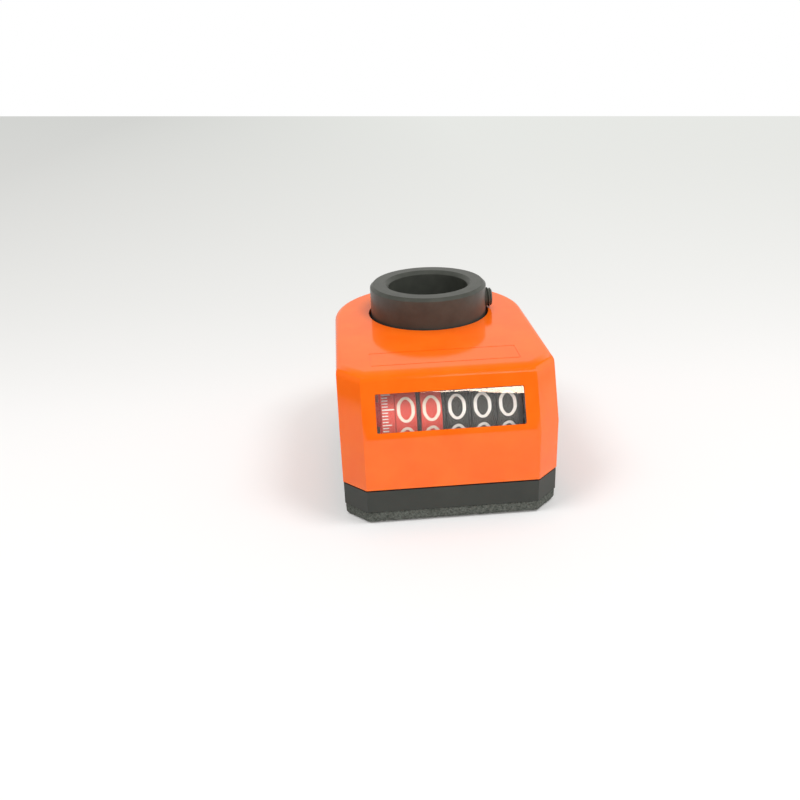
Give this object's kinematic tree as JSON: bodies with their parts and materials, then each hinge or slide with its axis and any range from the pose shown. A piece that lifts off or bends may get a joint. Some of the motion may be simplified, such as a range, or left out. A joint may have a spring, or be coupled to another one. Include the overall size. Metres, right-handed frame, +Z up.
{
  "type": "mechanical position indicator",
  "caption": "Hollow-shaft position indicator: a clamped spindle turns a geared row of digit drums behind an inclined window in a compact housing with a foam-backed base.",
  "frame": {"origin": "on the shaft axis, in the plane of the mounting face under the foam gasket", "axes": "+Z up along the shaft, -Y towards the window, +X to the right as the window is looked at"},
  "size_m": [0.048, 0.0705, 0.0409],
  "materials": {
    "housing_orange": "smooth glossy moulded plastic",
    "clear_lens": "clear polished plastic",
    "base_black": "fine satin moulded plastic",
    "foam": "open-celled foam",
    "black_steel": "blackened turned steel",
    "bright_steel": "plain steel",
    "nylon": "natural moulded plastic",
    "bronze": "sintered bronze",
    "seal_rubber": "black rubber",
    "drum_red": "satin printed plastic",
    "drum_black": "satin printed plastic"
  },
  "bodies": {
    "housing": {"housing": "housing_orange", "window_lens": "clear_lens", "base": "base_black", "foam_gasket": "foam", "upper_bush": "bronze", "lower_bush": "bronze", "shaft_seal": "seal_rubber", "pinion_pin": "bright_steel", "idler_pin": "bright_steel", "counter_frame": "bright_steel", "frame_screws": "bright_steel", "carrier_plate_1": "drum_black", "carrier_plate_2": "drum_black", "carrier_plate_3": "drum_black", "carrier_plate_4": "drum_black", "end_washer": "drum_black"},
    "spindle": {"hollow_shaft": "black_steel", "shaft_gear": "nylon", "retaining_ring": "bright_steel"},
    "clamp_screw": {"set_screw": "bright_steel"},
    "pinion": {"drive_pinion": "nylon"},
    "idler": {"idler_gear": "nylon"},
    "drum_1": {"drum_axle": "bright_steel", "drum_gear": "nylon", "scale_drum": "drum_red", "digit_drum_1": "drum_red", "axle_clip": "bright_steel"},
    "drum_2": {"digit_drum_2": "drum_red"},
    "drum_3": {"digit_drum_3": "drum_black"},
    "drum_4": {"digit_drum_4": "drum_black"},
    "drum_5": {"digit_drum_5": "drum_black"},
    "carry_1": {"transfer_pinion_1": "nylon"},
    "carry_2": {"transfer_pinion_2": "nylon"},
    "carry_3": {"transfer_pinion_3": "nylon"},
    "carry_4": {"transfer_pinion_4": "nylon"}
  },
  "joints": [
    {"name": "spindle_spin", "type": "hinge", "parent": "housing", "child": "spindle", "pos_m": [0, 0, 0], "axis": [0, 0, 1], "continuous": true},
    {"name": "set_screw_travel", "type": "slide", "parent": "spindle", "child": "clamp_screw", "axis": [-1, 0, 0], "range_m": [-0.0015, 0.0012]},
    {"name": "pinion_spin", "type": "hinge", "parent": "housing", "child": "pinion", "pos_m": [0, 0, 0.013], "axis": [1, 0, 0], "continuous": true},
    {"name": "idler_spin", "type": "hinge", "parent": "housing", "child": "idler", "pos_m": [0, -0.01281, 0.01924], "axis": [1, 0, 0], "continuous": true},
    {"name": "drum_1_spin", "type": "hinge", "parent": "housing", "child": "drum_1", "pos_m": [0, -0.03156, 0.01957], "axis": [1, 0, 0], "continuous": true},
    {"name": "drum_2_spin", "type": "hinge", "parent": "housing", "child": "drum_2", "pos_m": [0, -0.03156, 0.01957], "axis": [1, 0, 0], "continuous": true},
    {"name": "drum_3_spin", "type": "hinge", "parent": "housing", "child": "drum_3", "pos_m": [0, -0.03156, 0.01957], "axis": [1, 0, 0], "continuous": true},
    {"name": "drum_4_spin", "type": "hinge", "parent": "housing", "child": "drum_4", "pos_m": [0, -0.03156, 0.01957], "axis": [1, 0, 0], "continuous": true},
    {"name": "drum_5_spin", "type": "hinge", "parent": "housing", "child": "drum_5", "pos_m": [0, -0.03156, 0.01957], "axis": [1, 0, 0], "continuous": true},
    {"name": "carry_1_spin", "type": "hinge", "parent": "housing", "child": "carry_1", "pos_m": [0, -0.03156, 0.01432], "axis": [1, 0, 0], "continuous": true},
    {"name": "carry_2_spin", "type": "hinge", "parent": "housing", "child": "carry_2", "pos_m": [0, -0.03156, 0.01432], "axis": [1, 0, 0], "continuous": true},
    {"name": "carry_3_spin", "type": "hinge", "parent": "housing", "child": "carry_3", "pos_m": [0, -0.03156, 0.01432], "axis": [1, 0, 0], "continuous": true},
    {"name": "carry_4_spin", "type": "hinge", "parent": "housing", "child": "carry_4", "pos_m": [0, -0.03156, 0.01432], "axis": [1, 0, 0], "continuous": true}
  ],
  "couplings": [
    {"joint": "pinion_spin", "follows": "spindle_spin", "ratio": -4},
    {"joint": "idler_spin", "follows": "spindle_spin", "ratio": 1.8462},
    {"joint": "drum_1_spin", "follows": "spindle_spin", "ratio": -2},
    {"joint": "drum_2_spin", "follows": "spindle_spin", "ratio": -0.2},
    {"joint": "drum_3_spin", "follows": "spindle_spin", "ratio": -0.02},
    {"joint": "drum_4_spin", "follows": "spindle_spin", "ratio": -0.002},
    {"joint": "drum_5_spin", "follows": "spindle_spin", "ratio": -0.0002},
    {"joint": "carry_1_spin", "follows": "spindle_spin", "ratio": -0.66667},
    {"joint": "carry_2_spin", "follows": "spindle_spin", "ratio": -0.066667},
    {"joint": "carry_3_spin", "follows": "spindle_spin", "ratio": -0.0066667},
    {"joint": "carry_4_spin", "follows": "spindle_spin", "ratio": -0.00066667}
  ]
}
